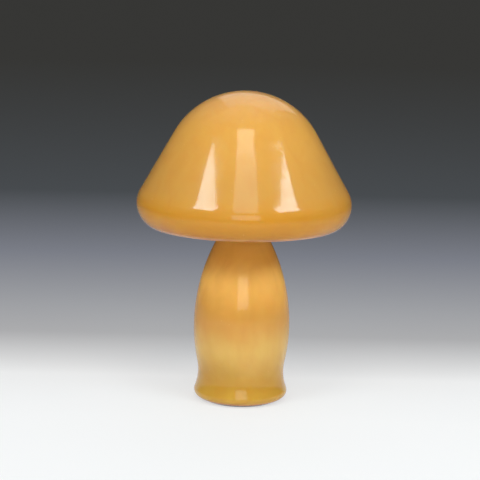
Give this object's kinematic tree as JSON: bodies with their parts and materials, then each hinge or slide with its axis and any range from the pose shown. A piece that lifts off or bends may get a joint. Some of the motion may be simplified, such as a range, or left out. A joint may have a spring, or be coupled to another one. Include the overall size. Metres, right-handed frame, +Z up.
{
  "type": "mushroom table lamp",
  "caption": "Mushroom table lamp: a bell shade of amber glass rests on a three-armed carrier above a waisted amber glass body with a rounded foot.",
  "frame": {"origin": "centre of the felt's underside, on the surface that the lamp stands on", "axes": "+Z up along the lamp's axis, -Y towards the viewer, +Y towards the cord inlet, +X to the viewer's right"},
  "size_m": [0.248, 0.248, 0.36],
  "materials": {
    "shade_amber_glass": "glossy cased amber over white, opaque to the eye",
    "body_amber_glass": "glossy cased amber over white, opaque to the eye",
    "green_felt": "matt felt",
    "brown_rubber": "satin moulded",
    "black_rubber": "matt",
    "clear_rubber": "milky soft sleeve",
    "zinc_steel": "zinc plated",
    "spun_brass": "lacquered, spun",
    "formed_brass": "lacquered, formed strip",
    "brass_fastener": "turned",
    "contact_brass": "bright rolled",
    "liner_board": "waxed insulating board",
    "holder_porcelain": "glazed",
    "cam_fibre": "vulcanised fibre",
    "brown_bakelite": "polished moulding",
    "pearl_glass": "pearl, satin inside",
    "cap_aluminium": "rolled",
    "black_glass": "fused black glass",
    "solder": "dull solder",
    "basing_cement": "matt",
    "clear_glass": "clear",
    "lead_wire": "drawn",
    "tungsten": "wound"
  },
  "bodies": {
    "base": {"body_glass": "body_amber_glass", "felt_pad": "green_felt", "cord_grommet": "brown_rubber", "threaded_rod": "zinc_steel", "rod_bush": "black_rubber", "base_gasket": "black_rubber", "base_washer": "zinc_steel", "base_nut": "zinc_steel", "neck_gasket": "black_rubber", "vase_cap": "spun_brass", "neck_nut": "brass_fastener", "carrier_hub": "spun_brass", "carrier_arm_1": "formed_brass", "carrier_arm_2": "formed_brass", "carrier_arm_3": "formed_brass", "arm_sleeve_1": "clear_rubber", "arm_sleeve_2": "clear_rubber", "arm_sleeve_3": "clear_rubber", "carrier_rivets": "brass_fastener", "lock_washer": "zinc_steel", "holder_cap": "spun_brass", "grub_screw": "zinc_steel", "holder_shell": "spun_brass", "holder_liner": "liner_board", "holder_block": "holder_porcelain", "screw_shell": "contact_brass", "centre_contact": "contact_brass", "contact_rivet": "contact_brass", "terminal_screws": "brass_fastener", "shaft_bushing": "brass_fastener", "switch_leaf": "contact_brass"},
    "shade": {"shade_glass": "shade_amber_glass"},
    "switch": {"switch_knob": "brown_bakelite", "switch_shaft": "brass_fastener", "switch_rotor": "cam_fibre"},
    "bulb_foot": {"bulb_contact": "solder"},
    "bulb": {"bulb_envelope": "pearl_glass", "bulb_screw_cap": "cap_aluminium", "bulb_insulator": "black_glass", "bulb_cement": "basing_cement", "bulb_stem": "clear_glass", "lead_wires": "lead_wire", "filament": "tungsten"}
  },
  "joints": [
    {"name": "shade_lift", "type": "slide", "parent": "base", "child": "shade", "axis": [0, 0, 1], "range_m": [0, 0.14]},
    {"name": "switch_turn", "type": "hinge", "parent": "base", "child": "switch", "pos_m": [0, -0.02, 0.2399], "axis": [0, -1, 0], "continuous": true},
    {"name": "bulb_lift", "type": "slide", "parent": "base", "child": "bulb_foot", "axis": [0, 0, 1], "range_m": [0, 0.0109]},
    {"name": "bulb_turn", "type": "hinge", "parent": "bulb_foot", "child": "bulb", "pos_m": [0, 0, 0.3], "axis": [0, 0, 1], "range_deg": [0, 1080]}
  ],
  "couplings": [
    {"joint": "bulb_lift", "follows": "bulb_turn", "m_per_rad": 0.00057757}
  ]
}
